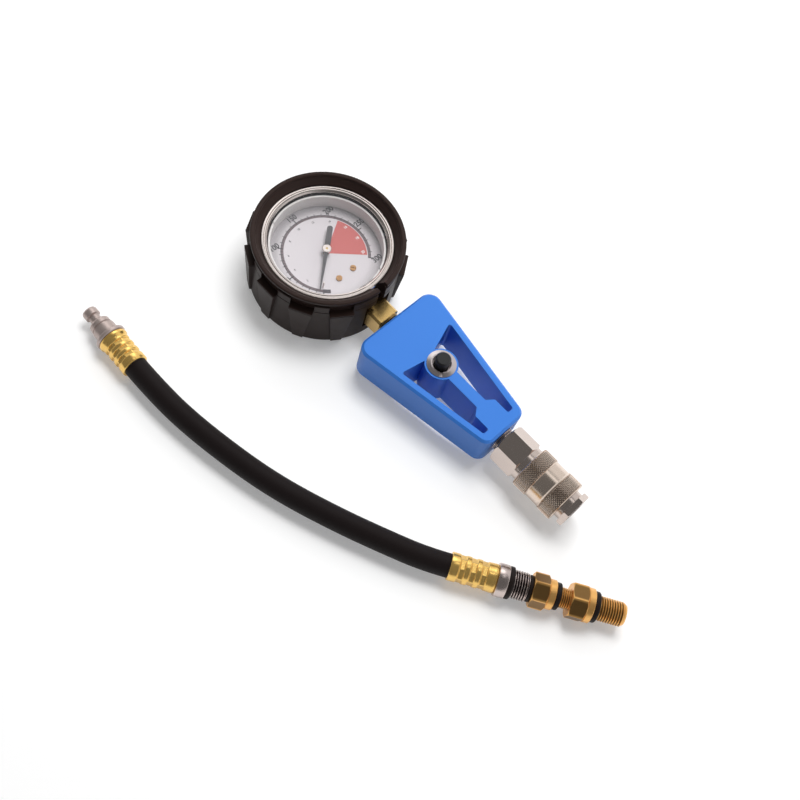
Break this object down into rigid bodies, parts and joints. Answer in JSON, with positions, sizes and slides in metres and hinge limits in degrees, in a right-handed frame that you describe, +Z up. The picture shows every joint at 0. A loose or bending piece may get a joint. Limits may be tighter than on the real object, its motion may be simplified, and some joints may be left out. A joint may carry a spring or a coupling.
{
  "type": "compression tester",
  "caption": "Engine compression tester: a pressure gauge in a rubber boot, a tapered block with a relief button, a quick coupler, and a short hose with threaded adapters.",
  "frame": {"origin": "bottom centre of the box round the gauge, block and coupler, on the table they lie on", "axes": "+X along the head unit from the gauge to the coupler, +Z up along the gauge axis"},
  "size_m": [0.2886, 0.1582, 0.0395],
  "materials": {
    "boot_rubber": "satin",
    "case_steel": "satin",
    "bezel_steel": "polished",
    "window_glass": "clear",
    "seal_rubber": "matt",
    "ring_white": "satin",
    "dial_white": "satin",
    "screw_brass": "polished",
    "hub_metal": "satin",
    "pointer_black": "satin",
    "movement_brass": "satin",
    "stem_brass": "satin",
    "block_blue": "anodised",
    "bush_steel": "satin",
    "button_black": "satin",
    "spring_steel": "polished",
    "nickel": "polished",
    "nickel_satin": "satin",
    "ferrule_brass": "satin",
    "hose_rubber": "satin",
    "adapter_brass": "satin"
  },
  "bodies": {
    "frame": {"rubber_boot": "boot_rubber", "gauge_case": "case_steel", "bezel_ring": "bezel_steel", "window": "window_glass", "window_gasket": "seal_rubber", "dial_ring": "ring_white", "dial_plate": "dial_white", "dial_screws": "screw_brass", "stop_pin": "hub_metal", "movement_frame": "movement_brass", "bourdon_tube": "movement_brass", "link": "movement_brass", "gauge_stem": "stem_brass", "manifold_block": "block_blue", "valve_bush": "bush_steel", "valve_spring": "spring_steel", "coupler_adaptor": "nickel", "coupler_body": "nickel", "locking_balls": "spring_steel", "socket_seal": "seal_rubber", "hose_plug": "nickel_satin", "ferrule_plug_end": "ferrule_brass", "rubber_hose": "hose_rubber", "ferrule_thread_end": "ferrule_brass", "threaded_end": "nickel_satin", "collar_seal": "seal_rubber", "face_seal": "seal_rubber", "adapter_m10": "adapter_brass", "adapter_seal": "seal_rubber", "adapter_m12": "adapter_brass", "tip_seal": "seal_rubber", "valve_core": "movement_brass"},
    "pointer": {"pointer": "pointer_black", "pointer_hub": "hub_metal", "pointer_arbor": "movement_brass"},
    "sector": {"sector_gear": "movement_brass"},
    "button": {"push_button": "button_black", "button_seal": "seal_rubber"},
    "sleeve": {"coupler_sleeve": "nickel", "sleeve_spring": "spring_steel"},
    "check_pin": {"valve_pin": "spring_steel", "core_spring": "spring_steel"}
  },
  "joints": [
    {"name": "sector_turn", "type": "hinge", "parent": "frame", "child": "sector", "pos_m": [-0.06958, 0.0168, 0.0126], "axis": [0, 0, 1], "range_deg": [0, 44.3]},
    {"name": "pointer_turn", "type": "hinge", "parent": "frame", "child": "pointer", "pos_m": [-0.06958, 0, 0.0126], "axis": [0, 0, -1], "range_deg": [0, 266]},
    {"name": "button_press", "type": "slide", "parent": "frame", "child": "button", "axis": [0, 0, -1], "range_m": [0, 0.0025], "stiffness_N_per_m": 800, "springref_m": -0.003, "deforming": ["valve_spring"]},
    {"name": "sleeve_pull", "type": "slide", "parent": "frame", "child": "sleeve", "axis": [-1, 0, 0], "range_m": [0, 0.0026], "stiffness_N_per_m": 1500, "springref_m": -0.004},
    {"name": "check_pin_lift", "type": "slide", "parent": "frame", "child": "check_pin", "axis": [-0.8447, -0.5352, -0.0045], "range_m": [0, 0.0015], "stiffness_N_per_m": 300, "springref_m": -0.001}
  ],
  "couplings": [
    {"joint": "pointer_turn", "follows": "sector_turn", "ratio": 6}
  ]
}
